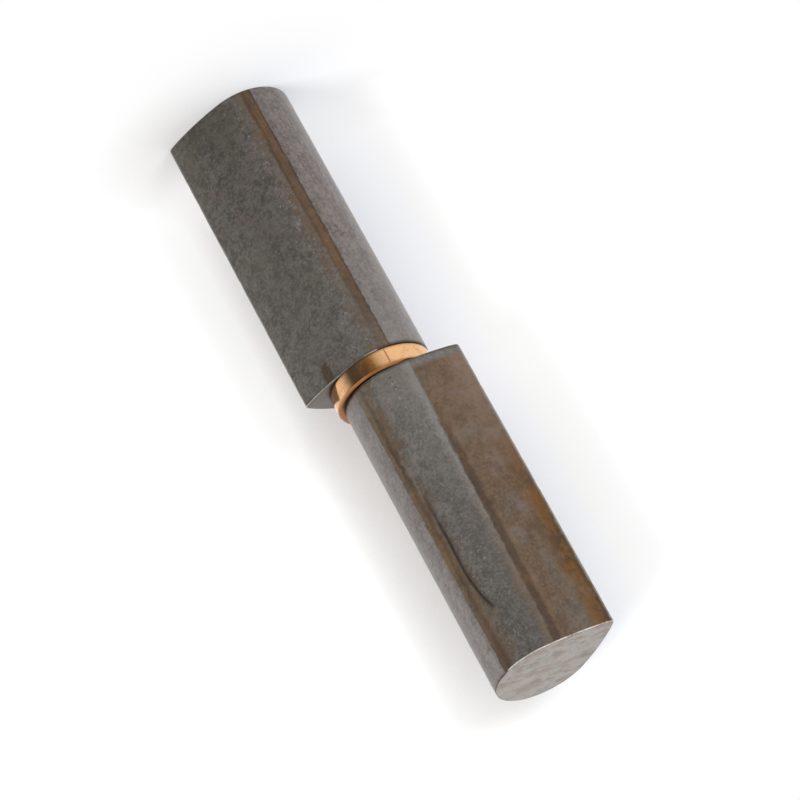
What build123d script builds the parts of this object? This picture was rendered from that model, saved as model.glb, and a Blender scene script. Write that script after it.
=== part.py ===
from build123d import *
import math
import os

# Weld-on barrel hinge, in millimetres. The pin's axis is +Z, the lower half stands on Z = 0, and its
# weld nose points to +X.

# The two halves are cut from one drop-shaped bar.
half_length = 49.15
barrel_radius = 7.5
nose_reach = 12.1        # from the pin's axis to the land of the nose
nose_land = 0.5          # width of the flat land that takes the weld
flank_radius = 34.5      # crown of the two flanks
end_break = 0.15         # broken edge round each cut end
upper_turn = -153.0      # where the upper nose rests, in degrees round the pin from the lower nose

# The pin is pressed into the lower half and stands in the upper half's bore.
pin_radius = 4.5
pin_in_lower = 27.0
pin_in_upper = 29.0
pin_lead = 0.8           # chamfer that guides the upper half on
pin_foot_break = 0.4

# The washer is a loose ring, which lies off the axis by its play.
washer_thickness = 3.2
washer_radius = 7.9
washer_shift = 0.5       # along +X
washer_break = 0.3       # chamfer of both outer rims
washer_bore_break = 0.2

# Clearances and drilled ends.
running_fit = 0.05       # between the pin and the upper bore
washer_fit = 0.2         # between the pin and the washer's hole, where they come nearest
seat_gap = 0.05          # above and below the washer
bore_spare = 1.5         # depth of the upper bore past the pin's end
mouth_break = 0.5        # chamfer at the mouth of each bore
drill_angle = 118.0      # full angle of the drill point in degrees


def polar(radius, angle):
    return Vector(radius * math.cos(angle), radius * math.sin(angle))


def bar_section():
    # Each flank circle holds the barrel circle inside it and touches it, so its centre is as far from
    # the axis as the two radii differ, on the far side from where they touch.
    centre_distance = flank_radius - barrel_radius
    corner = Vector(nose_reach, nose_land / 2)
    corner_along = (flank_radius**2 - centre_distance**2 - corner.length**2) / (2 * centre_distance)
    meet_angle = math.atan2(corner.Y, corner.X) + math.acos(corner_along / corner.length)
    centre = polar(-centre_distance, meet_angle)
    corner_angle = math.atan2(corner.Y - centre.Y, corner.X - centre.X)
    crown = centre + polar(flank_radius, (corner_angle + meet_angle) / 2)
    meet = polar(barrel_radius, meet_angle)

    flank = ThreePointArc(corner, crown, meet)
    back = ThreePointArc(meet, Vector(-barrel_radius, 0), Vector(meet.X, -meet.Y))
    land = Line(Vector(corner.X, -corner.Y), corner)
    return make_face([flank, back, mirror(flank, about=Plane.XZ), land])


def drilled_bore(radius, depth):
    # A blind hole from Z = 0 up, with a chamfered mouth and the cone that a drill leaves.
    cone_depth = radius / math.tan(math.radians(drill_angle / 2))
    outline = Polyline(
        (0, 0, 0),
        (radius + mouth_break, 0, 0),
        (radius, 0, mouth_break),
        (radius, 0, depth),
        (0, 0, depth + cone_depth),
        close=True,
    )
    return revolve(make_face(outline), Axis.Z)


def half(bore_radius, bore_depth):
    # One half, with the mouth of its bore at Z = 0.
    bar = extrude(bar_section(), half_length)
    ends = bar.faces().filter_by(Axis.Z)
    bar = chamfer(ends.edges(), end_break)
    return bar - drilled_bore(bore_radius, bore_depth)


def lower_half():
    return Pos(0, 0, half_length) * Rot(180, 0, 0) * half(pin_radius, pin_in_lower)


def upper_half():
    mouth_height = half_length + washer_thickness + 2 * seat_gap
    bore_depth = pin_in_upper + bore_spare
    return Pos(0, 0, mouth_height) * Rot(0, 0, upper_turn) * half(pin_radius + running_fit, bore_depth)


def hinge_pin():
    foot_height = half_length - pin_in_lower
    length = pin_in_lower + washer_thickness + 2 * seat_gap + pin_in_upper
    outline = Polyline(
        (0, 0, 0),
        (pin_radius - pin_foot_break, 0, 0),
        (pin_radius, 0, pin_foot_break),
        (pin_radius, 0, length - pin_lead),
        (pin_radius - pin_lead, 0, length),
        (0, 0, length),
        close=True,
    )
    return Pos(0, 0, foot_height) * revolve(make_face(outline), Axis.Z)


def washer():
    hole_radius = pin_radius + washer_shift + washer_fit
    top = washer_thickness
    outline = Polyline(
        (hole_radius + washer_bore_break, 0, 0),
        (washer_radius - washer_break, 0, 0),
        (washer_radius, 0, washer_break),
        (washer_radius, 0, top - washer_break),
        (washer_radius - washer_break, 0, top),
        (hole_radius + washer_bore_break, 0, top),
        (hole_radius, 0, top - washer_bore_break),
        (hole_radius, 0, washer_bore_break),
        close=True,
    )
    return Pos(washer_shift, 0, half_length + seat_gap) * revolve(make_face(outline), Axis.Z)


pieces = {
    "lower_half": lower_half(),
    "hinge_pin": hinge_pin(),
    "washer": washer(),
    "upper_half": upper_half(),
}

os.makedirs("parts", exist_ok=True)
for name, shape in pieces.items():
    export_step(shape, f"parts/{name}.step")
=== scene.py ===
import math
import bpy
from mathutils import Matrix, Vector


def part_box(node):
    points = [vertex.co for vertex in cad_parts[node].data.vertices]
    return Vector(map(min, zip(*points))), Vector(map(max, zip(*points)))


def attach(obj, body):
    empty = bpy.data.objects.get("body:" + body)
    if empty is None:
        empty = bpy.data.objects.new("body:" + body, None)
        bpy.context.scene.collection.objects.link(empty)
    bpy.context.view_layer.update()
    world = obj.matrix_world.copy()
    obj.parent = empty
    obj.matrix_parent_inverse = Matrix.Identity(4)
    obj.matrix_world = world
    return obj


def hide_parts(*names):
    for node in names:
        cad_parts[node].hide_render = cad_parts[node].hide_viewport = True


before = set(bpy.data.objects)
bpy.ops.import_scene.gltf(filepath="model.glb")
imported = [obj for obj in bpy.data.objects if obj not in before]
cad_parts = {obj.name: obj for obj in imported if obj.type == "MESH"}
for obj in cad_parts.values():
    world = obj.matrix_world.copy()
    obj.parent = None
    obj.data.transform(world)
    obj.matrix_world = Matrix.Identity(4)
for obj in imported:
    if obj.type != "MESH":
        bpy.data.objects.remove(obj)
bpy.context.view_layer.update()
scene = bpy.context.scene
scene.view_settings.view_transform = "Standard"

lowerLow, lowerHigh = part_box("lower_half")
upperLow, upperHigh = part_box("upper_half")
ringLow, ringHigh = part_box("washer")
pinLow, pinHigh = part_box("hinge_pin")
mm = 0.001


# Short ways to build node trees

def treeOf(*values):
    # The node tree of the first socket among the values.
    return next(value.id_data for value in values if isinstance(value, bpy.types.NodeSocket))


def feed(socket, value):
    if isinstance(value, bpy.types.NodeSocket):
        socket.id_data.links.new(value, socket)
    elif value is not None:
        socket.default_value = value


def addNode(tree, kind, settings=None, **values):
    node = tree.nodes.new(kind)
    for key, value in (settings or {}).items():
        setattr(node, key, value)
    for key, value in values.items():
        feed(node.inputs[key.replace("_", " ")], value)
    return node


def calc(operation, *values):
    node = addNode(treeOf(*values), "ShaderNodeMath", {"operation": operation})
    for socket, value in zip(node.inputs, values):
        feed(socket, value)
    return node.outputs[0]


def chain(operation, values):
    result = values[0]
    for value in values[1:]:
        result = calc(operation, result, value)
    return result


def product(*values):
    return chain("MULTIPLY", values)


def most(*values):
    return chain("MAXIMUM", values)


def plus(first, second):
    return calc("ADD", first, second)


def minus(first, second):
    return calc("SUBTRACT", first, second)


def leftOver(value):
    return minus(1.0, value)


def scaledPlus(value, scale, more):
    return calc("MULTIPLY_ADD", value, scale, more)


def squares(first, second):
    return scaledPlus(first, first, calc("POWER", second, 2.0))


def vectorOf(x, y, z):
    return addNode(treeOf(x, y, z), "ShaderNodeCombineXYZ", X=x, Y=y, Z=z).outputs[0]


def vectorCalc(operation, first, second):
    node = addNode(treeOf(first, second), "ShaderNodeVectorMath", {"operation": operation})
    feed(node.inputs[0], first)
    feed(node.inputs["Scale"] if operation == "SCALE" else node.inputs[1], second)
    return node.outputs["Value"] if operation == "DOT_PRODUCT" else node.outputs[0]


def parts(vector):
    return addNode(treeOf(vector), "ShaderNodeSeparateXYZ", Vector=vector).outputs


def remap(value, low, high, toLow=0.0, toHigh=1.0, smooth=True):
    settings = {"interpolation_type": "SMOOTHSTEP" if smooth else "LINEAR"}
    node = addNode(treeOf(value, low, high), "ShaderNodeMapRange", settings)
    feed(node.inputs["Value"], value)
    feed(node.inputs["From Min"], low)
    feed(node.inputs["From Max"], high)
    feed(node.inputs["To Min"], toLow)
    feed(node.inputs["To Max"], toHigh)
    return node.outputs[0]


def between(share, first, second):
    return remap(share, 0.0, 1.0, first, second, smooth=False)


def noise(vector, scale, detail=2.0, rough=0.5):
    values = {"Vector": vector, "Scale": scale, "Detail": detail, "Roughness": rough}
    return addNode(treeOf(vector), "ShaderNodeTexNoise", **values).outputs[0]


def newGroup(name, kind, inputs, outputs):
    tree = bpy.data.node_groups.new(name, kind)
    for side, sockets in (("INPUT", inputs), ("OUTPUT", outputs)):
        for label, socketType in sockets:
            tree.interface.new_socket(label, in_out=side, socket_type="NodeSocket" + socketType)
    return tree, tree.nodes.new("NodeGroupInput").outputs, tree.nodes.new("NodeGroupOutput").inputs


def floats(*labels):
    return [(label, "Float") for label in labels]


def callGroup(tree, group, **values):
    return addNode(tree, "ShaderNodeGroup", {"node_tree": group}, **values).outputs


def tone(red, green, blue):
    # A colour as it looks on a screen, 0 to 255, made linear.
    channels = [value / 255 for value in (red, green, blue)]
    return tuple(v / 12.92 if v <= 0.04045 else ((v + 0.055) / 1.055) ** 2.4 for v in channels) + (1.0,)


def blend(share, first, second):
    node = addNode(treeOf(share, first, second), "ShaderNodeMix", {"data_type": "RGBA"})
    for index, value in ((0, share), (6, first), (7, second)):
        feed(node.inputs[index], value)
    return node.outputs[2]


def newThing(name, data):
    thing = bpy.data.objects.new(name, data)
    scene.collection.objects.link(thing)
    return thing


cameraLook = {
    "azimuth": 10.08,    # degrees round the pin, 0 looks along +Y
    "elevation": 26.58,
    "roll": 151.28,
    "distance": 527.6 * mm,
    "lens": 164.7,
    "sensor": 36.0,
    "farthest": 20.0,    # metres that it sees
    "aim": Vector((-0.43, -0.08, 54.19)) * mm,
}


def lookAxes(azimuth, elevation, roll):
    around, lift, turn = (math.radians(angle) for angle in (azimuth, elevation, roll))
    ahead = Vector((-math.sin(around) * math.cos(lift), math.cos(around) * math.cos(lift), -math.sin(lift)))
    side = ahead.cross(Vector((0, 0, 1))).normalized()
    level = side.cross(ahead)
    up = level * math.cos(turn) - side * math.sin(turn)
    return ahead.cross(up), up, ahead


def placeLooking(thing, place, right, up, ahead):
    turned = Matrix((right, up, -ahead)).transposed()
    thing.matrix_world = Matrix.Translation(place) @ turned.to_4x4()


def makeCamera(look):
    right, up, ahead = lookAxes(look["azimuth"], look["elevation"], look["roll"])
    data = bpy.data.cameras.new("hingeCamera")
    data.lens = look["lens"]
    data.sensor_width = look["sensor"]
    data.clip_end = look["farthest"]
    camera = newThing("hingeCamera", data)
    placeLooking(camera, look["aim"] - ahead * look["distance"], right, up, ahead)
    scene.camera = camera


makeCamera(cameraLook)
print("camera set")


studio = {
    "panelEdges": (-128.0, -40.0),   # degrees round the pin, between which the bright side fades
    "darkLevel": 0.09,
    "wallEdges": (-34.0, 14.0),      # and where the bright back wall starts
    "skyLevels": (0.30, 1.0),        # what lights the front and the back, which meet softly
    "skySoft": 0.12,
    "skyMirrored": 1.0,              # what metal finds above the floor in place of the lamps
    "backAngle": 103.5,
    "floorColour": 0.8,
    "floorHalf": 3.0,
    "seenColour": 0.99,              # the stage as the camera sees it: matte with a share of plain white,
    "seenGlow": (0.10, 1.0),         # which grows from near the hinge
    "glowReach": (30.0 * mm, 85.0 * mm),
    "cardAway": 13.0 * mm,           # a white card behind the hinge, clear of the nose as it swings
    "cardWide": 0.9,
    "cardHigh": 0.7,
    "cardBend": 5.0 * mm,            # radius of its sweep up from the floor, and how far its lip lies on it
    "cardLip": 1.5 * mm,
    "cardLift": 0.01 * mm,
    "cardSteps": 16,
    "shadeLean": 60.0,               # degrees off square to the stage, for the shade close beside the hinge
    "shadeReach": 13.5 * mm,
    "warmShade": (0.22, 0.16, 0.10), # its colours where it is deepest
    "coolShade": (0.86, 0.925, 1.10),
}

lamps = {                            # angle round the pin, height angle, in degrees; away and size in metres
    "sidePanel": {"round": -118.0, "height": 8.0, "away": 0.8, "size": 0.45, "power": 4.0},
    "frontPanel": {"round": -32.0, "height": 25.0, "away": 0.9, "size": 0.4, "power": 6.0},
}


def makeLamp(name, lamp):
    around, lift = math.radians(lamp["round"]), math.radians(lamp["height"])
    level = math.cos(lift)
    outward = Vector((math.cos(around) * level, math.sin(around) * level, math.sin(lift)))
    data = bpy.data.lights.new(name, "AREA")
    data.shape = "DISK"
    data.size = lamp["size"]
    data.energy = lamp["power"]
    thing = newThing(name, data)
    thing.visible_glossy = False         # metal finds the plain sky instead, so its ends don't glare
    side = outward.cross(Vector((0, 0, 1))).normalized()
    middle = Vector((0, 0, upperHigh.z / 2))
    placeLooking(thing, middle + outward * lamp["away"], side, side.cross(-outward), -outward)


def makeRoomLevel(look):
    # What polished metal finds in each direction: a soft panel, a dark front and a bright back wall.
    inputs = [("Direction", "Vector")]
    tree, given, out = newGroup("roomLevel", "ShaderNodeTree", inputs, floats("Level"))
    axes = parts(given["Direction"])
    angle = calc("DEGREES", calc("ARCTAN2", axes[1], axes[0]))
    panel = remap(angle, *look["panelEdges"], 1.0, look["darkLevel"])
    wall = remap(angle, *look["wallEdges"])
    feed(out["Level"], most(panel, wall))
    return tree


def makeWorld(look, roomLevel):
    world = bpy.data.worlds.new("studio")
    scene.world = world
    world.use_nodes = True
    tree = world.node_tree
    tree.nodes.clear()
    rays = addNode(tree, "ShaderNodeLightPath").outputs
    direction = addNode(tree, "ShaderNodeTexCoord").outputs["Generated"]
    around = math.radians(look["backAngle"])
    facing = vectorCalc("DOT_PRODUCT", direction, (math.cos(around), math.sin(around), 0))
    height = parts(direction)[2]
    sky = remap(facing, -look["skySoft"], look["skySoft"], *look["skyLevels"])
    sky = product(sky, calc("GREATER_THAN", height, 0.0))
    mirrored = callGroup(tree, roomLevel, Direction=direction)["Level"]
    mirrored = most(mirrored, look["skyMirrored"])
    level = between(rays["Is Glossy Ray"], sky, mirrored)
    seen = most(rays["Is Camera Ray"], rays["Is Transmission Ray"])
    level = between(seen, level, 1.0)
    light = addNode(tree, "ShaderNodeBackground", Color=(1, 1, 1, 1), Strength=level)
    feed(addNode(tree, "ShaderNodeOutputWorld").inputs[0], light.outputs[0])


def mixShaders(tree, share, first, second):
    mix = addNode(tree, "ShaderNodeMixShader")
    feed(mix.inputs[0], share)
    feed(mix.inputs[1], first.outputs[0])
    feed(mix.inputs[2], second.outputs[0])
    return mix


def makeShade(tree, facing, sideways, look):
    # How much of what stands close by is met when looking out from the stage, leaning to one side.
    angle = math.radians(look["shadeLean"])
    square = vectorCalc("SCALE", facing, math.cos(angle))
    leaning = vectorCalc("ADD", square, tuple(sideways * math.sin(angle)))
    around = {"Distance": look["shadeReach"], "Normal": leaning}
    node = addNode(tree, "ShaderNodeAmbientOcclusion", {"samples": 4}, **around)
    return leftOver(node.outputs["AO"])


def makeStageSurface(name, look, roomLevel):
    # Matte for light, nearly white for the camera, the room's own level for reflections, clear from behind.
    material = bpy.data.materials.new(name)
    material.use_nodes = True
    tree = material.node_tree
    tree.nodes.clear()
    rays = addNode(tree, "ShaderNodeLightPath").outputs
    grey, pale = look["floorColour"], look["seenColour"]
    matte = addNode(tree, "ShaderNodeBsdfDiffuse", Color=(grey, grey, grey, 1))
    facing = addNode(tree, "ShaderNodeNewGeometry").outputs["Normal"]
    around = math.radians(look["backAngle"])
    sideways = Vector((math.sin(around), -math.cos(around), 0))
    warm = makeShade(tree, facing, -sideways, look)
    cool = makeShade(tree, facing, sideways, look)
    seenColour = blend(cool, (pale, pale, pale, 1), tuple(pale * v for v in look["coolShade"]) + (1,))
    seenColour = blend(warm, seenColour, tuple(pale * v for v in look["warmShade"]) + (1,))
    seenMatte = addNode(tree, "ShaderNodeBsdfDiffuse", Color=seenColour)
    glow = addNode(tree, "ShaderNodeEmission", Color=(1, 1, 1, 1), Strength=1.0)
    place = addNode(tree, "ShaderNodeTexCoord").outputs["Object"]
    mirrored = callGroup(tree, roomLevel, Direction=place)["Level"]
    shine = addNode(tree, "ShaderNodeEmission", Color=(1, 1, 1, 1), Strength=mirrored)
    clear = addNode(tree, "ShaderNodeBsdfTransparent")
    away = addNode(tree, "ShaderNodeVectorMath", {"operation": "DISTANCE"})
    feed(away.inputs[0], place)
    feed(away.inputs[1], (0, 0, upperHigh.z / 2))
    plainWhite = remap(away.outputs["Value"], *look["glowReach"], *look["seenGlow"])
    forCamera = mixShaders(tree, plainWhite, seenMatte, glow)
    seen = most(rays["Is Camera Ray"], rays["Is Transmission Ray"])
    surface = mixShaders(tree, seen, matte, forCamera)
    surface = mixShaders(tree, rays["Is Glossy Ray"], surface, shine)
    behind = addNode(tree, "ShaderNodeNewGeometry").outputs["Backfacing"]
    surface = mixShaders(tree, behind, surface, clear)
    feed(addNode(tree, "ShaderNodeOutputMaterial").inputs[0], surface.outputs[0])
    return material


def makeStagePlane(name, rows, material):
    # A strip through rows of two corners each.
    mesh = bpy.data.meshes.new(name)
    corners = [corner for row in rows for corner in row]
    faces = [(2 * i, 2 * i + 1, 2 * i + 3, 2 * i + 2) for i in range(len(rows) - 1)]
    mesh.from_pydata(corners, [], faces)
    mesh.materials.append(material)
    mesh.shade_smooth()
    plane = newThing(name, mesh)
    return plane


def makeStage(look, roomLevel):
    surface = makeStageSurface("paleStage", look, roomLevel)
    half = look["floorHalf"]
    floorRows = [[(-half, -half, 0), (half, -half, 0)], [(-half, half, 0), (half, half, 0)]]
    floor = makeStagePlane("floor", floorRows, surface)
    around = math.radians(look["backAngle"])
    outward = Vector((math.cos(around), math.sin(around), 0))
    across = Vector((outward.y, -outward.x, 0)) * look["cardWide"] / 2
    away, bend, lift, steps = look["cardAway"], look["cardBend"], look["cardLift"], look["cardSteps"]
    profile = [(away - bend - look["cardLip"], lift)]
    for step in range(steps + 1):
        turn = math.radians(90 * step / steps)
        profile.append((away - bend + bend * math.sin(turn), lift + bend - bend * math.cos(turn)))
    profile.append((away, look["cardHigh"]))
    cardRows = []
    for out, height in profile:
        middle = outward * out + Vector((0, 0, height))
        cardRows.append([middle - across, middle + across])
    card = makeStagePlane("card", cardRows, surface)
    # Nothing lies below the floor, and left out here it doesn't shade the card's foot.
    floor.visible_shadow = False
    # The card only catches what the camera sees, so the hinge's back is lit as if it weren't there.
    card.visible_diffuse = False
    card.visible_glossy = False
    card.visible_transmission = False
    card.visible_shadow = False


for lampName, lampLook in lamps.items():
    makeLamp(lampName, lampLook)
roomLevel = makeRoomLevel(studio)
makeWorld(studio, roomLevel)
makeStage(studio, roomLevel)
print("lamps, world, floor and card set")


# Skins lofted between loops round the pin's axis

mergeWithin = 0.002 * mm             # joins the rows of neighbouring patches
crowding = 0.62                      # how far a bar's columns crowd towards its nose


def loftLoops(tree, loops, stepsAround, angleOf):
    # A loop is (radius, height, rows up to the next loop). Radius and height may be functions of the angle.
    def along(share, angle, here, there):
        ends = [end(angle) if callable(end) else end for end in (here, there)]
        return between(share, *ends)

    join = tree.nodes.new("GeometryNodeJoinGeometry")
    columns = plus(stepsAround, 1)
    patches = []
    for here, there in zip(loops, loops[1:]):
        size = {"Size_X": 1.0, "Size_Y": 1.0, "Vertices_X": columns, "Vertices_Y": here[2]}
        grid = addNode(tree, "GeometryNodeMeshGrid", **size)
        split = parts(grid.outputs["UV Map"])
        angle = angleOf(split[0])
        radius = along(split[1], angle, here[0], there[0])
        height = along(split[1], angle, here[1], there[1])
        x = product(radius, calc("COSINE", angle))
        y = product(radius, calc("SINE", angle))
        place = vectorOf(x, y, height)
        mesh = grid.outputs["Mesh"]
        patches.append(addNode(tree, "GeometryNodeSetPosition", Geometry=mesh, Position=place))
    for patch in reversed(patches):
        tree.links.new(patch.outputs[0], join.inputs[0])
    whole = addNode(tree, "GeometryNodeMergeByDistance", Geometry=join.outputs[0], Distance=mergeWithin)
    return whole.outputs[0]


def finishTree(tree, geometry, given, out, sharpAngle=30.0):
    # Smooth faces with crisp rims, made real, with their finish.
    bend = tree.nodes.new("GeometryNodeInputMeshEdgeAngle").outputs["Unsigned Angle"]
    soft = calc("LESS_THAN", bend, math.radians(sharpAngle))
    shading = {"domain": "FACE"}
    faces = addNode(tree, "GeometryNodeSetShadeSmooth", shading, Geometry=geometry, Shade_Smooth=True)
    edges = addNode(tree, "GeometryNodeSetShadeSmooth", {"domain": "EDGE"}, Geometry=faces.outputs[0])
    feed(edges.inputs["Shade Smooth"], soft)
    real = addNode(tree, "GeometryNodeRealizeInstances", Geometry=edges.outputs[0])
    coat = addNode(tree, "GeometryNodeSetMaterial", Geometry=real.outputs[0], Material=given["Finish"])
    feed(out["Geometry"], coat.outputs[0])


def evenAngle(share):
    return product(minus(share, 0.5), 2 * math.pi)


def crowdedAngle(share):
    # More columns near the nose, where the land's corners are.
    signed = scaledPlus(share, 2.0, -1.0)
    cubed = calc("POWER", calc("ABSOLUTE", signed), 3.0)
    cubed = product(cubed, calc("SIGN", signed))
    mixed = scaledPlus(cubed, crowding, product(signed, 1 - crowding))
    return product(mixed, math.pi)


reliefLook = {
    "breakEdges": (0.02, 0.11),      # radians from the nose, between which the wider edge break fades
    "waveScale": 160.0,              # noise scales, per metre
    "pitScale": 1100.0,
    "nickScale": 700.0,
    "drawn": (1.0, 1.0, 0.35),       # the waves are longer along the bar
    "pitEdges": (0.62, 0.78),
    "nickEdges": (0.50, 0.74),
    "rimBreaks": 4.0,                # how far in from an end its nicks reach, in edge breaks
    "noseReach": 0.6 * mm,           # and how far in from the nose
    "endLean": 0.97,                 # faces that lean more than this are ends
    "skinFrom": 0.96,                # of the barrel's radius, inside which all is bore
}


def dropOutline(given):
    # The radius of the bar's section at an angle from its nose, less a share of the edge break.
    barrel, reach, crown = given["Barrel Radius"], given["Nose Reach"], given["Flank Radius"]
    halfLand = product(given["Nose Land"], 0.5)
    centre = minus(crown, barrel)       # from the axis to the centre of a flank's circle
    gap = minus(calc("POWER", crown, 2.0), calc("POWER", centre, 2.0))
    cornerSquare = squares(reach, halfLand)
    twiceCentre = product(centre, 2.0)
    cosine = calc("DIVIDE", minus(gap, cornerSquare), product(twiceCentre, calc("SQRT", cornerSquare)))
    meet = plus(calc("ARCTAN2", halfLand, reach), calc("ARCCOSINE", cosine))

    def breakAt(angle):
        # The broken edge is wider at the nose's corners.
        atNose = remap(calc("ABSOLUTE", angle), *reliefLook["breakEdges"], 1.0, 0.0)
        return scaledPlus(atNose, given["Corner Break"], given["Edge Break"])

    def outline(inset):
        def radius(angle):
            wide = calc("ABSOLUTE", angle)
            toward = product(calc("COSINE", minus(wide, meet)), centre)
            root = calc("SQRT", scaledPlus(toward, toward, gap))
            flank = minus(root, toward)
            flat = calc("DIVIDE", reach, most(calc("COSINE", wide), 0.2))
            nose = calc("SMOOTH_MIN", flank, flat, given["Nose Rounding"])
            onBarrel = calc("GREATER_THAN", wide, meet)
            size = between(onBarrel, nose, barrel)
            return minus(size, product(breakAt(angle), inset)) if inset else size
        return radius

    return outline, breakAt


def rollRelief(tree, given, skin, look):
    # Slow waves, shallow pits and small nicks of rolled bar, across the axis only, so the ends stay flat.
    spot = tree.nodes.new("GeometryNodeInputPosition").outputs[0]
    normal = tree.nodes.new("GeometryNodeInputNormal").outputs[0]
    x, y, z = parts(spot)
    across = calc("SQRT", squares(x, y))
    lean = calc("ABSOLUTE", parts(normal)[2])
    skinOnly = product(calc("LESS_THAN", lean, look["endLean"]),
                    calc("GREATER_THAN", across, product(given["Barrel Radius"], look["skinFrom"])))
    seed = given["Seed"]
    seeded = vectorCalc("ADD", spot, vectorOf(seed, seed, seed))
    drawn = vectorCalc("MULTIPLY", seeded, look["drawn"])
    waves = product(minus(noise(drawn, look["waveScale"]), 0.5), given["Wave"])
    pits = remap(noise(seeded, look["pitScale"], 1.0), *look["pitEdges"])
    pits = product(pits, given["Pit"])
    nearEnd = calc("MINIMUM", z, minus(given["Length"], z))
    atRim = remap(nearEnd, 0.0, product(given["Edge Break"], look["rimBreaks"]), 1.0, 0.0)
    reach = given["Nose Reach"]
    atNose = remap(across, minus(reach, look["noseReach"]), reach)
    chips = remap(noise(seeded, look["nickScale"], 3.0), *look["nickEdges"])
    atEdge = most(atRim, atNose)
    nicks = product(chips, atEdge, given["Nick"])
    lift = minus(minus(waves, pits), nicks)
    lift = product(lift, skinOnly)
    push = vectorCalc("SCALE", vectorCalc("MULTIPLY", normal, (1.0, 1.0, 0.0)), lift)
    return addNode(tree, "GeometryNodeSetPosition", Geometry=skin, Offset=push).outputs[0]


def makeBarTree():
    # A drop-shaped bar, drilled from one end: a round barrel that runs into two crowned flanks.
    sizes = floats("Barrel Radius", "Nose Reach", "Nose Land", "Nose Rounding", "Flank Radius", "Length",
                   "Edge Break", "Corner Break", "Bore Radius", "Bore Depth", "Drill Cone", "Mouth Break",
                   "Wave", "Pit", "Nick", "Seed")
    steps = [("Steps Around", "Int"), ("Steps Along", "Int")]
    rest = [("Place", "Vector"), ("Turn", "Vector"), ("Finish", "Material")]
    inputs = sizes + steps + rest
    tree, given, out = newGroup("dropBar", "GeometryNodeTree", inputs, [("Geometry", "Geometry")])
    outline, breakAt = dropOutline(given)
    length, bore, depth = given["Length"], given["Bore Radius"], given["Bore Depth"]
    mouth = plus(bore, given["Mouth Break"])
    tip = plus(depth, given["Drill Cone"])

    def above(share):
        return lambda angle: product(breakAt(angle), share)

    def below(share):
        return lambda angle: minus(length, product(breakAt(angle), share))

    loops = [
        (0.0, tip, 4), (bore, depth, 8), (bore, given["Mouth Break"], 2), (mouth, 0.0, 16),
        (outline(1.0), 0.0, 2), (outline(0.3), above(0.3), 2),
        (outline(0.0), above(1.0), given["Steps Along"]),
        (outline(0.0), below(1.0), 2), (outline(0.3), below(0.3), 2), (outline(1.0), length, 30),
        (0.0, length, 2),
    ]
    skin = loftLoops(tree, loops, given["Steps Around"], crowdedAngle)
    worn = rollRelief(tree, given, skin, reliefLook)
    placed = addNode(tree, "GeometryNodeTransform", Geometry=worn, Translation=given["Place"])
    feed(placed.inputs["Rotation"], given["Turn"])
    finishTree(tree, placed.outputs[0], given, out)
    return tree


def growPiece(name, tree, values):
    # Runs the tree once and keeps its result as a plain mesh, with its place in the mesh.
    carrier = newThing(name + "Seed", bpy.data.meshes.new(name + "Seed"))
    modifier = carrier.modifiers.new("grow", "NODES")
    modifier.node_group = tree
    for item in tree.interface.items_tree:
        if item.in_out == "INPUT" and item.name in values:
            modifier[item.identifier] = values[item.name]
    bpy.context.view_layer.update()
    grown = carrier.evaluated_get(bpy.context.evaluated_depsgraph_get())
    mesh = bpy.data.meshes.new_from_object(grown)
    mesh.name = name
    bpy.data.objects.remove(carrier)
    piece = newThing(name, mesh)
    print(name, "grown with", len(mesh.polygons), "faces")
    return piece


def putInPlace(piece, body, node):
    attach(piece, body)
    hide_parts(node)


# Effects that the finishes share

def makeBarMap():
    # Where a point lies: degrees round from the nose, and millimetres along, out from the axis and overall.
    found = floats("Around", "Along", "Reach") + [("Spot", "Vector")]
    tree, given, out = newGroup("barMap", "ShaderNodeTree", floats("Turn", "Base"), found)
    place = addNode(tree, "ShaderNodeTexCoord").outputs["Object"]
    spot = vectorCalc("SCALE", place, 1 / mm)
    x, y, z = parts(spot)
    angle = calc("DEGREES", calc("ARCTAN2", y, x))
    feed(out["Around"], calc("WRAP", minus(angle, given["Turn"]), 180.0, -180.0))
    feed(out["Along"], minus(z, given["Base"]))
    square = squares(x, y)
    feed(out["Reach"], calc("SQRT", square))
    feed(out["Spot"], spot)
    return tree


streakLook = {                       # noise scales of a stripe's borders
    "slow": 0.12,                    # per millimetre
    "quick": 1.1,
    "round": 0.16,                   # millimetres that a degree round the bar counts for
}


def makeStreak(look):
    # A stripe along a bar between two angles. Its borders are soft, wander slowly and are ragged close by.
    labels = ("Around", "Along", "From", "To", "Soft From", "Soft To", "Wander", "Ragged", "Seed")
    tree, given, out = newGroup("streak", "ShaderNodeTree", floats(*labels), floats("Mask"))
    slow = noise(vectorOf(given["Along"], given["Seed"], 0.0), look["slow"], 4.0, 0.6)
    close = vectorOf(given["Along"], product(given["Around"], look["round"]), given["Seed"])
    quick = noise(close, look["quick"], 2.0, 0.6)
    where = scaledPlus(minus(slow, 0.5), given["Wander"], given["Around"])
    where = scaledPlus(minus(quick, 0.5), given["Ragged"], where)
    borders = []
    for side, ends in (("From", (0.0, 1.0)), ("To", (1.0, 0.0))):
        low = minus(given[side], given["Soft " + side])
        high = plus(given[side], given["Soft " + side])
        borders.append(remap(where, low, high, *ends))
    feed(out["Mask"], product(*borders))
    return tree


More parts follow.
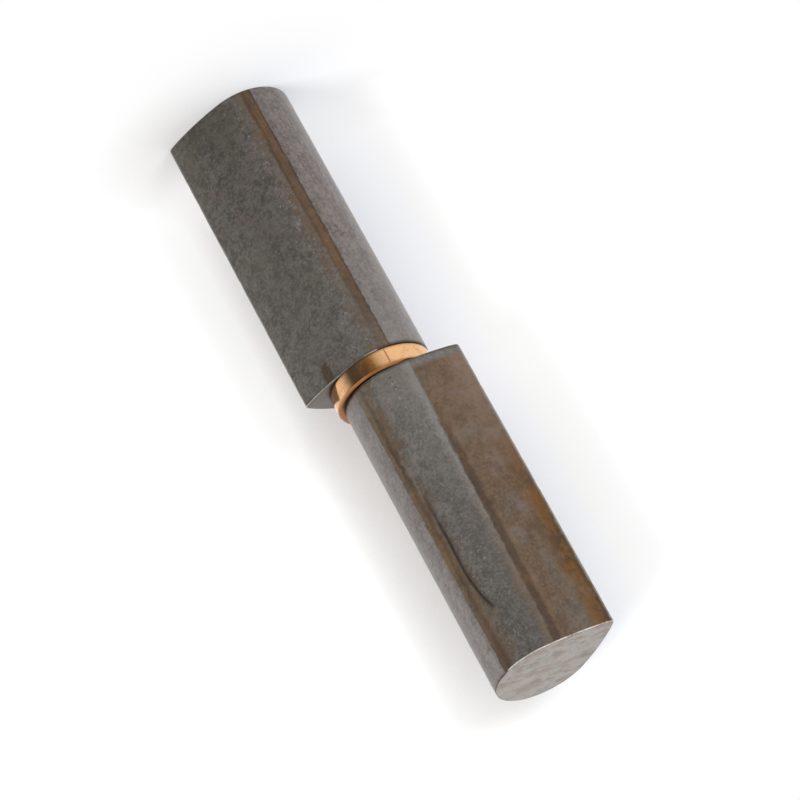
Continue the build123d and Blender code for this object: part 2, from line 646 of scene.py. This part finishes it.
def makeMottle():
    # Uneven tone about 0.5, from patches of two sizes in millimetres. Drawn below 1 stretches it along.
    inputs = [("Spot", "Vector")] + floats("Large", "Small", "Share", "Drawn")
    tree, given, out = newGroup("mottle", "ShaderNodeTree", inputs, floats("Value"))
    stretch = vectorCalc("MULTIPLY", given["Spot"], vectorOf(1.0, 1.0, given["Drawn"]))
    large = noise(stretch, calc("DIVIDE", 1.0, given["Large"]), 3.0, 0.55)
    small = noise(stretch, calc("DIVIDE", 1.0, given["Small"]), 3.0, 0.75)
    feed(out["Value"], between(given["Share"], large, small))
    return tree


def makeSpecks():
    # Scattered flecks of uneven shape. Size is their spacing in millimetres, Share how many places are taken.
    inputs = [("Spot", "Vector")] + floats("Size", "Share")
    tree, given, out = newGroup("specks", "ShaderNodeTree", inputs, floats("Mask"))
    density = calc("DIVIDE", 1.0, given["Size"])
    quick = product(density, 2.2)
    shake = addNode(tree, "ShaderNodeTexNoise", Vector=given["Spot"], Scale=quick)
    shaken = vectorCalc("SCALE", shake.outputs["Color"], product(given["Size"], 0.7))
    cells = addNode(tree, "ShaderNodeTexVoronoi", Vector=vectorCalc("ADD", given["Spot"], shaken))
    feed(cells.inputs["Scale"], density)
    drawnLots = addNode(tree, "ShaderNodeSeparateColor", Color=cells.outputs["Color"]).outputs
    taken = calc("LESS_THAN", drawnLots["Red"], given["Share"])
    size = scaledPlus(drawnLots["Green"], 0.3, 0.15)
    fleck = remap(cells.outputs["Distance"], product(size, 0.4), size, 1.0, 0.0)
    feed(out["Mask"], product(fleck, taken))
    return tree


barMap = makeBarMap()
streak = makeStreak(streakLook)
mottle = makeMottle()
specks = makeSpecks()
print("shared effects ready")


steelLook = {                        # colours as they look on a screen
    "scale": tone(108, 103, 98),     # grey mill scale
    "scaleDark": tone(72, 68, 63),
    "scaleLight": tone(150, 146, 143),
    "scaleOlive": tone(92, 88, 74),
    "scalePlum": tone(108, 92, 92),
    "drawn": tone(143, 137, 134),    # back of the barrel, free of scale
    "drawnDark": tone(106, 98, 95),
    "dull": tone(128, 120, 117),
    "dullDark": tone(88, 81, 78),
    "brownPale": tone(122, 102, 85),
    "brown": tone(97, 76, 56),       # thin brown rust over the flank
    "brownDark": tone(70, 54, 40),
    "lineDark": tone(55, 42, 32),    # in the rust lines beside the bare back
    "orange": tone(102, 72, 34),
    "golden": tone(112, 82, 38),
    "fresh": tone(104, 70, 30),
    "cut": tone(168, 162, 157),      # sawn ends
    "cutStain": tone(150, 130, 120),
    "cutDull": tone(138, 133, 127),
    "cutDark": tone(124, 116, 102),
    "mated": tone(104, 99, 94),      # ends where they face the washer, darker
    # a burr's painted highlight
    "burrHighlight": tone(232, 227, 221),
    "edge": tone(142, 138, 134),
    "bored": tone(150, 146, 140),
    "scratch": tone(46, 42, 39),
    "grainEdges": (0.38, 0.62),      # between which levels of fine noise the grain goes from dark to light
    "plusLine": (99.5, 113.5),       # rust lines at the edges of the bare back, in degrees from the nose
    "minusLine": (-103.6, -90.0),
    "flankBorder": 41.5,             # where the brown flank ends, which drifts with each millimetre along
    "flankDrift": 0.14,
    "sawSlant": -40.0,               # degrees between the saw's streaks and the nose
    "scaleMetal": 0.45,              # how metallic, and how rough, each finish is
    "bareMetal": 0.8,
    "rustMetal": 0.08,
    "freshMetal": 0.45,
    "scaleRough": 0.46,
    "bareRough": 0.38,
    "rustRough": 0.66,
    "grainRough": 0.3,
    "bumpDepth": 0.02 * mm,
    "bumpStrength": 0.7,
}

lowerWear = {                        # what differs between the halves: degrees from the nose, and millimetres
    "seed": 0.0,
    "reliefSeed": 0.31,
    "washerEnd": (lowerHigh.z - lowerLow.z) / mm,
    "paler": 0.06,
    "darker": 0.16,
    "backPaler": 0.3,
    "line": tone(88, 62, 36),
    "lineFade": 0.0,
    "burrHighlightLow": (0.15, -3.0, 108.0),  # strength, and between which angles the burr is painted bright; the rest of the rim is painted dark
    "burrHighlightHigh": (0.42, -88.0, 3.0),
    "stains": [                      # middle angle, middle along, half width in degrees, half length, depth
        (-27.5, 48.4, 6.0, 3.0, 0.85),
        (-32.5, 5.4, 2.6, 0.8, 0.5),
    ],
    "scratch": None,
}

upperWear = {
    "seed": 4.0,
    "reliefSeed": 0.77,
    "washerEnd": 0.0,
    "paler": 0.18,
    "darker": 0.0,
    "backPaler": 0.1,
    "line": tone(90, 72, 50),
    "lineFade": 0.7,
    "burrHighlightLow": (0.0, -3.0, 108.0),
    "burrHighlightHigh": (0.85, -3.0, 108.0),
    "stains": [
        (33.0, 46.5, 7.0, 1.6, 0.6),
        (17.0, 21.0, 3.0, 1.2, 0.35),
    ],
    "scratch": {
        "angle": 95.8,
        "along": (16.0, 30.0, 33.0, 41.0),    # where it starts, is deepest, leaves the line and stops
        "fadesOver": 1.6,
        "curl": -0.17,                        # degrees for each square millimetre past where it leaves
        "widths": (3.4, 2.0),                 # degrees
        "haloWidth": 5.5,
    },
}


def newFinish(name):
    material = bpy.data.materials.new(name)
    material.use_nodes = True
    tree = material.node_tree
    return material, tree, tree.nodes["Principled BSDF"]


def addBump(tree, shader, height, depth, strength):
    bump = addNode(tree, "ShaderNodeBump", Strength=strength, Distance=depth, Height=height)
    feed(shader.inputs["Normal"], bump.outputs[0])


def makeBarSteel(name, look, wear, turn, base, length, boreRadius):
    material, tree, shader = newFinish(name)
    where = callGroup(tree, barMap, Turn=turn, Base=base)
    around, along, reach = where["Around"], where["Along"], where["Reach"]
    seed = wear["seed"]
    spot = vectorCalc("ADD", where["Spot"], (seed * 7.0, 3.0, seed))
    toWasher = calc("ABSOLUTE", minus(along, wear["washerEnd"]))
    fromHigh = minus(length, along)
    border = scaledPlus(along, look["flankDrift"], look["flankBorder"])

    def stripe(start, stop, softStart, softStop, wander, number, ragged=1.0):
        values = {"Around": around, "Along": along, "From": start, "To": stop, "Soft_From": softStart,
                  "Soft_To": softStop, "Wander": wander, "Ragged": ragged, "Seed": number + seed}
        return callGroup(tree, streak, **values)["Mask"]

    def patches(large, small, share, drawn=1.0, apart=0.0):
        place = vectorCalc("ADD", spot, (apart, apart, apart)) if apart else spot
        values = {"Spot": place, "Large": large, "Small": small, "Share": share, "Drawn": drawn}
        return callGroup(tree, mottle, **values)["Value"]

    def flecks(size, share):
        return callGroup(tree, specks, Spot=spot, Size=size, Share=share)["Mask"]

    fine = patches(1.6, 0.5, 0.66)
    broad = patches(6.0, 1.4, 0.3, 0.6)
    other = patches(3.2, 0.9, 0.4, 0.8, 31.0)
    streaks = patches(2.0, 0.45, 0.5, 0.12)
    pits = flecks(0.8, 0.22)
    paintedGlints = remap(patches(1.3, 0.45, 0.85, 1.0, 51.0), 0.575, 0.66)

    # Grey mill scale: fine light and dark grain, olive and plum in places, paler towards the washer.
    colour = blend(remap(fine, *look["grainEdges"]), look["scaleDark"], look["scale"])
    colour = blend(remap(broad, 0.45, 0.68, 0.0, 0.5), colour, look["scaleOlive"])
    colour = blend(remap(other, 0.52, 0.68, 0.0, 0.45), colour, look["scalePlum"])
    colour = blend(wear["darker"], colour, look["scaleDark"])
    colour = blend(remap(toWasher, 0.0, 48.0, wear["paler"], 0.0), colour, look["scaleLight"])

    # A darker stripe before the rust line, painted shade on that facet, stronger along the bar.
    paintedShadeBand = product(stripe(53.0, 78.0, 5.0, 6.0, 10.0, 9.0), remap(along, 4.0, 30.0, 0.1, 0.4))
    colour = blend(paintedShadeBand, colour, look["scaleDark"])

    # Bare drawn steel on the back of the barrel, with a sharp border on both sides.
    plusFrom, plusTo = look["plusLine"]
    minusFrom, minusTo = look["minusLine"]
    plusBare = stripe(plusTo, 400.0, 0.8, 1.0, 3.0, 1.0, 1.6)
    minusBare = stripe(-400.0, minusFrom, 1.0, 0.8, 3.0, 2.0, 1.6)
    bare = most(plusBare, minusBare)
    grained = scaledPlus(fine, 0.65, product(streaks, 0.35))
    drawnGrain = remap(grained, *look["grainEdges"])
    drawnTone = blend(drawnGrain, look["drawnDark"], look["drawn"])
    dull = most(product(minusBare, remap(around, -140.0, -104.0, 0.0, 0.8)),
                product(plusBare, remap(around, 122.0, 136.0, 0.0, 0.35)))
    drawnTone = blend(dull, drawnTone, blend(drawnGrain, look["dullDark"], look["dull"]))
    drawnTone = blend(remap(toWasher, 0.0, 24.0, wear["backPaler"], 0.0), drawnTone, look["scaleLight"])
    colour = blend(bare, colour, drawnTone)

    # Thin brown rust over the flank on one side, worn grey again further along.
    flank = stripe(0.5, border, 2.0, 1.8, 6.0, 3.0, 3.0)
    worn = product(remap(along, 14.0, 34.0), remap(broad, 0.44, 0.6), stripe(13.0, 37.0, 5.0, 4.0, 16.0, 4.0))
    clean = remap(scaledPlus(fine, 1.6, along), 1.8, 2.8)
    covered = product(flank, clean, leftOver(product(worn, 0.4)))
    brownGrain = scaledPlus(fine, 0.75, product(other, 0.25))
    brown = blend(remap(brownGrain, 0.37, 0.60), look["brownDark"], look["brown"])
    brown = blend(remap(other, 0.50, 0.64, 0.0, 0.4), brown, look["scalePlum"])
    brown = blend(remap(broad, 0.52, 0.66, 0.0, 0.45), brown, look["scaleOlive"])
    bleached = product(stripe(0.5, 13.0, 2.0, 9.0, 6.0, 7.0), remap(along, 2.0, 26.0, 0.45, 0.0))
    brown = blend(bleached, brown, look["brownPale"])
    colour = blend(product(covered, 0.95), colour, brown)
    veil = product(stripe(36.0, plus(border, 9.0), 3.0, 5.0, 12.0, 8.0), remap(along, 16.0, 44.0, 0.0, 0.62))
    colour = blend(veil, colour, look["brown"])

    # A paler band outside the brown, fading as it goes along, and a darker line just inside.
    paler = stripe(border, plus(border, 7.0), 1.8, 5.0, 6.0, 3.0, 3.0)
    colour = blend(product(paler, remap(along, 4.0, 46.0, 0.26, 0.04)), colour, look["scaleLight"])
    inside = stripe(plus(border, -7.5), plus(border, 0.8), 2.6, 1.6, 6.0, 3.0, 5.0)
    inside = product(inside, remap(along, 8.0, 20.0, 0.1, 1.0))
    insideTone = blend(remap(fine, 0.40, 0.60), look["lineDark"], look["brownDark"])
    insideTone = blend(product(remap(other, 0.5, 0.64), 0.4), insideTone, look["orange"])
    colour = blend(inside, colour, insideTone)

    # Rust lines at the edges of the bare back: ragged and orange, with darker cores and borders.
    narrower = remap(along, 10.0, 48.0, 0.0, -3.0)
    bleed = most(stripe(plusFrom - 9.0, plusFrom + 2.0, 5.0, 2.0, 8.0, 11.0, 8.0),
                 stripe(minusTo - 2.0, minusTo + 9.0, 2.0, 5.0, 8.0, 11.0, 8.0))
    bleed = product(bleed, remap(other, 0.44, 0.60, 0.1, 0.75))
    colour = blend(bleed, colour, look["brown"])
    lines = most(stripe(plusFrom, plusTo, 2.8, 0.8, 3.0, 1.0, 5.0),
                 stripe(minusFrom, plus(narrower, minusTo), 0.8, 2.0, 3.0, 2.0, 5.0))
    lines = product(lines, remap(toWasher, 1.0, 9.0, 0.55, 1.0))
    rusty = blend(remap(other, 0.42, 0.62), wear["line"], look["brownDark"])
    rusty = blend(product(remap(broad, 0.5, 0.66), 0.5), rusty, look["orange"])
    colour = blend(product(lines, remap(fine, *look["grainEdges"], 1.0, 0.76)), colour, rusty)
    faded = product(lines, remap(toWasher, 38.0, 48.0, 0.0, wear["lineFade"]))
    colour = blend(faded, colour, look["brownDark"])
    early = product(stripe(minusTo - 4.0, minusTo - 1.0, 1.2, 1.2, 6.0, 6.0, 6.0),
                    remap(along, 14.0, 24.0, 1.0, 0.45))
    cores = most(stripe(plusFrom + 3.0, plusFrom + 8.0, 2.0, 2.0, 14.0, 5.0, 8.0),
                 stripe(minusFrom, minusFrom + 2.2, 0.8, 1.1, 3.0, 2.0, 4.0), early)
    cores = product(cores, remap(broad, 0.35, 0.6, 0.9, 0.45))
    colour = blend(cores, colour, look["lineDark"])
    gold = remap(patches(2.2, 0.6, 0.5, 0.35, 44.0), 0.54, 0.66, 0.0, 0.6)
    colour = blend(product(gold, most(lines, inside)), colour, look["golden"])

    # Fresh orange rust beside the nose, in patches between darker smears.
    freshPatches = patches(2.4, 0.5, 0.6, 0.55, 12.0)
    beside = product(stripe(0.5, 10.5, 1.0, 6.0, 14.0, 7.0, 8.0), remap(along, 12.0, 30.0))
    fresh = product(beside, remap(freshPatches, 0.42, 0.56, 0.35, 1.0))
    smears = product(beside, remap(other, 0.42, 0.52, 0.9, 0.0))
    colour = blend(fresh, colour, look["fresh"])
    colour = blend(product(gold, beside), colour, look["golden"])
    colour = blend(smears, colour, look["brownDark"])
    under = product(stripe(0.6, 3.0, 0.6, 1.4, 6.0, 7.0, 4.0), remap(along, 22.0, 46.0, 0.0, 0.7))
    colour = blend(under, colour, look["lineDark"])

    # Stains, each a soft round patch with a ragged border.
    for middle, height, wide, long, depth in wear["stains"]:
        offAround = calc("DIVIDE", plus(around, -middle), wide)
        offAlong = calc("DIVIDE", plus(along, -height), long)
        square = squares(offAround, offAlong)
        ragged = scaledPlus(plus(fine, -0.5), 1.0, calc("SQRT", square))
        colour = blend(remap(ragged, 0.6, 1.1, depth, 0.0), colour, look["brownDark"])

    # Pits of the skin, and glints painted into the colour as light flecks, painted highlights which gather on
    # the facets beside the lines.
    colour = blend(product(pits, remap(broad, 0.4, 0.6, 0.25, 0.6)), colour, look["scaleDark"])
    beside = most(stripe(62.0, 98.0, 6.0, 3.0, 6.0, 9.0), stripe(-88.0, -60.0, 3.0, 8.0, 6.0, 9.0))
    gathered = remap(product(beside, other), 0.30, 0.55, 0.25, 1.0)
    shy = scaledPlus(most(covered, lines), -0.5, 0.65)
    colour = blend(product(paintedGlints, gathered, shy), colour, look["scaleLight"])

    # One long scratch that runs beside a rust line and curls away from it, dark on both sides.
    scratch = None
    if wear["scratch"]:
        mark = wear["scratch"]
        start, full, leaves, stop = mark["along"]
        curl = calc("POWER", most(plus(along, -leaves), 0.0), 2.0)
        sway = product(noise(vectorOf(along, 2.0, 0.0), 0.16, 1.0), 3.0)
        path = scaledPlus(curl, mark["curl"], plus(sway, mark["angle"]))
        aside = calc("ABSOLUTE", minus(path, around))
        ends = product(remap(along, start, full), remap(along, stop - mark["fadesOver"], stop, 1.0, 0.0))
        halo = product(remap(aside, 0.5, mark["haloWidth"], 0.5, 0.0), ends)
        colour = blend(halo, colour, look["lineDark"])
        width = remap(along, 22.0, 34.0, *mark["widths"])
        scratch = product(remap(aside, 0.4, width, 0.92, 0.0), ends)
        colour = blend(scratch, colour, look["scratch"])

    # Dark grime and painted shade where the steel meets the washer, and a rubbed edge along the nose.
    grimeAndShade = product(remap(toWasher, 0.12, 0.7, 0.6, 0.0), remap(broad, 0.35, 0.6, 0.5, 1.0))
    colour = blend(grimeAndShade, colour, look["lineDark"])
    rubbed = product(remap(calc("ABSOLUTE", around), 1.0, 2.2, 1.0, 0.0),
                     remap(patches(2.0, 0.5, 0.4, 0.4), 0.34, 0.52, 0.2, 0.75))
    colour = blend(rubbed, colour, look["edge"])

    # Sawn ends, faintly stained, darker where they face the washer, with a burr painted as a highlight along
    # a part of each rim, and painted shade along the rest of that rim.
    cut = remap(calc("MINIMUM", along, fromHigh), 0.02, 0.06, 1.0, 0.0)
    slant = math.radians(turn + look["sawSlant"])
    alongCut = vectorCalc("DOT_PRODUCT", spot, (0.5 * math.cos(slant), 0.5 * math.sin(slant), 0.0))
    acrossCut = vectorCalc("DOT_PRODUCT", spot, (-math.sin(slant), math.cos(slant), 0.0))
    sawn = vectorOf(alongCut, acrossCut, seed + 2.0)
    stained = remap(noise(sawn, 0.5, 4.0, 0.65), 0.46, 0.62, 0.0, 0.8)
    cutTone = blend(stained, look["cut"], look["cutStain"])
    elsewhere = vectorCalc("ADD", sawn, (9.0, 4.0, 2.0))
    tarnished = remap(noise(elsewhere, 0.8, 3.0), 0.54, 0.68, 0.0, 0.7)
    cutTone = blend(tarnished, cutTone, look["cutDark"])
    cutTone = blend(remap(fine, 0.36, 0.56, 0.7, 0.0), cutTone, look["cutDull"])
    cutTone = blend(remap(toWasher, 0.1, 0.3, 0.9, 0.0), cutTone, look["mated"])
    colour = blend(cut, colour, cutTone)
    broken = remap(patches(2.5, 0.5, 0.5), 0.34, 0.60, 0.25, 1.0)
    burrHighlights = []
    for fromEnd, (strength, start, stop) in ((along, wear["burrHighlightLow"]), (fromHigh, wear["burrHighlightHigh"])):
        rim = product(remap(fromEnd, 0.04, 0.07, 0.0, strength), remap(fromEnd, 0.15, 0.26, 1.0, 0.0))
        lit = stripe(start, stop, 1.0, 4.0, 0.0, 0.0, 0.0)
        burrHighlights.append(product(rim, lit, broken))
        # painted shade on the rim where the burr is not lit
        colour = blend(product(rim, leftOver(lit)), colour, look["lineDark"])
    burrHighlight = most(*burrHighlights)
    colour = blend(burrHighlight, colour, look["burrHighlight"])
    bored = product(remap(reach, boreRadius + 0.1, boreRadius + 0.7, 1.0, 0.0),
                    calc("LESS_THAN", toWasher, length - 1.0))
    colour = blend(bored, colour, look["bored"])

    # Rust is rough and hardly metallic, but where it is fresh or thin the steel still shines through.
    clear = most(cut, bored, burrHighlight)
    rust = product(most(covered, lines, inside, fresh, smears), leftOver(clear))
    bright = most(bare, clear)
    metal = between(bright, look["scaleMetal"], look["bareMetal"])
    metal = between(rust, metal, look["rustMetal"])
    thin = most(fresh, product(lines, 0.3))
    metal = between(thin, metal, look["freshMetal"])
    rough = between(bright, look["scaleRough"], look["bareRough"])
    rough = between(rust, rough, look["rustRough"])
    rough = scaledPlus(plus(fine, -0.5), look["grainRough"], rough)
    feed(shader.inputs["Base Color"], colour)
    feed(shader.inputs["Metallic"], metal)
    feed(shader.inputs["Roughness"], rough)

    height = scaledPlus(fine, 1.8, product(broad, 1.2))
    height = scaledPlus(pits, -0.6, height)
    height = scaledPlus(product(streaks, bare), 0.8, height)
    if scratch:
        height = scaledPlus(scratch, -1.5, height)
    addBump(tree, shader, height, look["bumpDepth"], look["bumpStrength"])
    return material


def makeTurnedMetal(name, look):
    # Metal turned on a lathe: fine rings, tarnish in clouds and at the rims, and one upright mark.
    material, tree, shader = newFinish(name)
    where = callGroup(tree, barMap, Turn=look["markAngle"], Base=look["base"])
    around, along, reach, spot = where["Around"], where["Along"], where["Reach"], where["Spot"]
    ringPlace = vectorOf(product(reach, 9.0), product(along, 9.0), 0.0)
    rings = noise(ringPlace, 1.0, 3.0, 0.7)
    cloud = callGroup(tree, mottle, Spot=spot, Large=2.2, Small=0.5, Share=0.35, Drawn=1.0)["Value"]
    toRim = calc("MINIMUM", along, minus(look["height"], along))
    rim = remap(scaledPlus(cloud, -0.6, toRim), -0.25, 0.45, look["rimTarnish"], 0.0)
    tarnish = most(remap(cloud, 0.45, 0.72, 0.0, look["tarnish"]), rim)
    markWidth = scaledPlus(cloud, 1.6, 0.4)
    mark = remap(calc("ABSOLUTE", around), 0.2, markWidth, look["mark"], 0.0)
    specked = callGroup(tree, specks, Spot=spot, Size=0.5, Share=0.1)["Mask"]
    tarnish = most(tarnish, mark)
    tarnish = most(tarnish, product(specked, look["tarnish"], 0.6))
    offPatch = calc("ABSOLUTE", minus(around, look["patchAngle"] - look["markAngle"]))
    offPatch = scaledPlus(cloud, -14.0, offPatch)
    oily = remap(offPatch, -5.0, 5.0, look["patch"], 0.0)
    colour = blend(oily, look["colour"], look["patched"])
    feed(shader.inputs["Base Color"], blend(tarnish, colour, look["tarnished"]))
    shader.inputs["Metallic"].default_value = 1.0
    feed(shader.inputs["Roughness"], scaledPlus(tarnish, 0.3, look["rough"]))
    addBump(tree, shader, rings, 0.01 * mm, 0.35)
    return material


# The two halves

barLook = {
    "Nose Land": 0.5 * mm,
    "Nose Rounding": 0.12 * mm,
    "Flank Radius": 34.5 * mm,
    "Edge Break": 0.15 * mm,
    "Corner Break": 0.12 * mm,
    "Mouth Break": 0.5 * mm,
    "Wave": 0.08 * mm,
    "Pit": 0.025 * mm,
    "Nick": 0.045 * mm,
    "Steps Around": 260,
    "Steps Along": 200,
}
noseTurn = -153.0                    # degrees from the lower half's nose to the upper half's
drillHalfAngle = math.radians(59)
runFit = 0.05 * mm
boreSpare = 1.5 * mm

barLength = lowerHigh.z - lowerLow.z
pinRadius = (pinHigh.x - pinLow.x) / 2
upperBore = pinRadius + runFit


def drilledBar(bore, depth, mouth, turn, seed, finish):
    # One half's values: its bore, how deep that goes in from its mouth, and how the half stands.
    values = dict(barLook)
    values["Barrel Radius"] = -lowerLow.x
    values["Nose Reach"] = lowerHigh.x
    values["Length"] = barLength
    values["Bore Radius"] = bore
    values["Bore Depth"] = depth
    values["Drill Cone"] = bore / math.tan(drillHalfAngle)
    values["Place"] = (0, 0, mouth)
    values["Turn"] = turn
    values["Seed"] = seed
    values["Finish"] = finish
    return values


barTree = makeBarTree()
flipped = (math.pi, 0, 0)            # drilled from above
lowerSteel = makeBarSteel("lowerSteel", steelLook, lowerWear, 0.0, 0.0, barLength / mm, pinRadius / mm)
lowerDepth = lowerHigh.z - pinLow.z
lower = drilledBar(pinRadius, lowerDepth, lowerHigh.z, flipped, lowerWear["reliefSeed"], lowerSteel)
putInPlace(growPiece("lowerBar", barTree, lower), "lower_half", "lower_half")

turned = (0, 0, math.radians(noseTurn))
upperSteel = makeBarSteel("upperSteel", steelLook, upperWear, noseTurn, upperLow.z / mm, barLength / mm,
                          upperBore / mm)
upperDepth = pinHigh.z - upperLow.z + boreSpare
upper = drilledBar(upperBore, upperDepth, upperLow.z, turned, upperWear["reliefSeed"], upperSteel)
putInPlace(growPiece("upperBar", barTree, upper), "upper_half", "upper_half")


# Washer and pin

def makeTurnedTree(name, sizes, loopsOf):
    rest = [("Steps Around", "Int"), ("Place", "Vector"), ("Finish", "Material")]
    tree, given, out = newGroup(name, "GeometryNodeTree", floats(*sizes) + rest, [("Geometry", "Geometry")])
    skin = loftLoops(tree, loopsOf(given), given["Steps Around"], evenAngle)
    placed = addNode(tree, "GeometryNodeTransform", Geometry=skin, Translation=given["Place"])
    finishTree(tree, placed.outputs[0], given, out)
    return tree


ringLook = {
    "Rim Break": 0.3 * mm,
    "Hole Break": 0.2 * mm,
    "Hole Radius": 5.2 * mm,
    "Steps Around": 256,
}

brassLook = {
    "colour": tone(238, 187, 137),
    "tarnished": tone(142, 88, 50),
    "tarnish": 0.6,
    "rimTarnish": 0.9,
    "rough": 0.08,
    "mark": 0.8,
    "markAngle": -93.5,              # degrees round the pin
    "patched": tone(182, 126, 64),
    "patch": 0.9,
    "patchAngle": -73.0,
    "base": ringLow.z / mm,
    "height": (ringHigh.z - ringLow.z) / mm,
}


def ringLoops(given):
    hole, wide, thick = given["Hole Radius"], given["Radius"], given["Thickness"]
    rim, small = given["Rim Break"], given["Hole Break"]
    holeWide = plus(hole, small)
    wideIn = minus(wide, rim)
    rimTop = minus(thick, rim)
    holeTop = minus(thick, small)
    return [(holeWide, 0.0, 10), (wideIn, 0.0, 3), (wide, rim, 12), (wide, rimTop, 3), (wideIn, thick, 10),
            (holeWide, thick, 3), (hole, holeTop, 4), (hole, small, 3), (holeWide, 0.0, 2)]


ringSizes = ("Hole Radius", "Radius", "Thickness", "Rim Break", "Hole Break")
ring = dict(ringLook)
ring["Radius"] = (ringHigh.x - ringLow.x) / 2
ring["Thickness"] = ringHigh.z - ringLow.z
ring["Place"] = ((ringLow.x + ringHigh.x) / 2, (ringLow.y + ringHigh.y) / 2, ringLow.z)
ring["Finish"] = makeTurnedMetal("turnedBrass", brassLook)
brassRing = growPiece("brassRing", makeTurnedTree("turnedRing", ringSizes, ringLoops), ring)
putInPlace(brassRing, "washer", "washer")

pinLook = {
    "Lead": 0.8 * mm,
    "Foot Break": 0.4 * mm,
    "Steps Around": 192,
}

pinSteelLook = {
    "colour": tone(178, 176, 172),
    "tarnished": tone(120, 112, 102),
    "tarnish": 0.5,
    "rimTarnish": 0.3,
    "rough": 0.2,
    "mark": 0.3,
    "markAngle": 40.0,
    "patched": tone(150, 142, 130),
    "patch": 0.3,
    "patchAngle": -60.0,
    "base": pinLow.z / mm,
    "height": (pinHigh.z - pinLow.z) / mm,
}


def pinLoops(given):
    wide, length, lead, foot = given["Radius"], given["Length"], given["Lead"], given["Foot Break"]
    footIn = minus(wide, foot)
    leadIn = minus(wide, lead)
    leadFrom = minus(length, lead)
    return [(0.0, 0.0, 6), (footIn, 0.0, 3), (wide, foot, 40), (wide, leadFrom, 4), (leadIn, length, 8),
            (0.0, length, 2)]


pin = dict(pinLook)
pin["Radius"] = pinRadius
pin["Length"] = pinHigh.z - pinLow.z
pin["Place"] = (0, 0, pinLow.z)
pin["Finish"] = makeTurnedMetal("groundPin", pinSteelLook)
pinSizes = ("Radius", "Length", "Lead", "Foot Break")
pinRod = growPiece("pinRod", makeTurnedTree("turnedPin", pinSizes, pinLoops), pin)
putInPlace(pinRod, "lower_half", "hinge_pin")
print("washer and pin in place")
